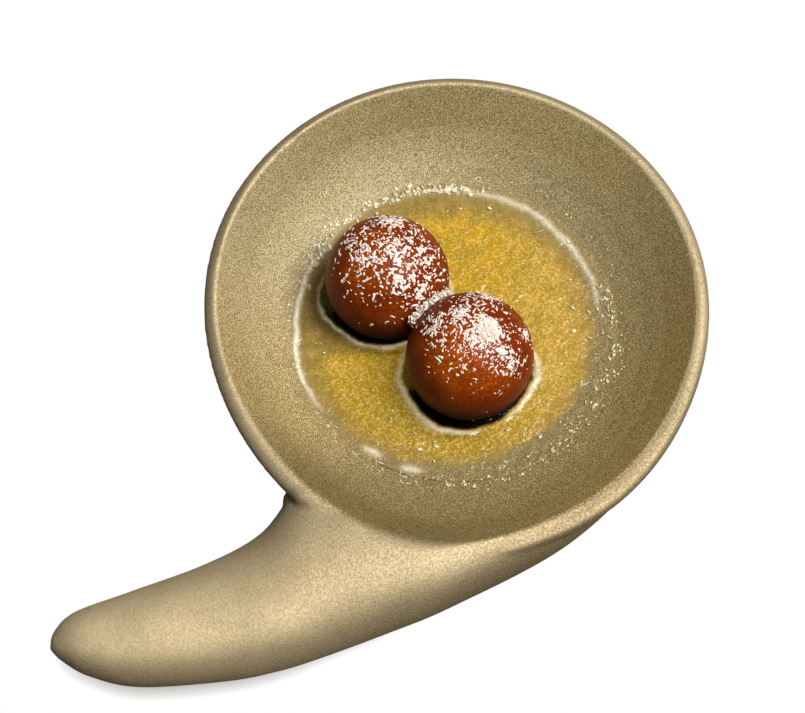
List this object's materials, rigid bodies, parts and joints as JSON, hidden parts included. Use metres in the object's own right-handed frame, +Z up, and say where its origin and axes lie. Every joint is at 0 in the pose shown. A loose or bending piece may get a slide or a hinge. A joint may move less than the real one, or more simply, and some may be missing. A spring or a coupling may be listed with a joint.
{
  "type": "gulab jamun in a bowl",
  "caption": "Fried milk-dough balls topped with grated coconut, in sugar syrup, in a round stoneware bowl whose rim runs out into a horn-shaped handle.",
  "frame": {"origin": "centre of the bowl's foot, on the table", "axes": "+Z up, +Y to the back of the bowl, away from the handle, +X to the right; the handle sweeps round the front and ends at the left"},
  "size_m": [0.1981, 0.1936, 0.0464],
  "materials": {
    "stoneware": "satin speckled khaki glaze",
    "sugar_syrup": "wet, golden",
    "fried_dough": "wet, reddish brown, with white grated coconut"
  },
  "bodies": {
    "root": {"dish": "stoneware", "syrup": "sugar_syrup", "jamun_left": "fried_dough", "jamun_right": "fried_dough"}
  },
  "joints": []
}
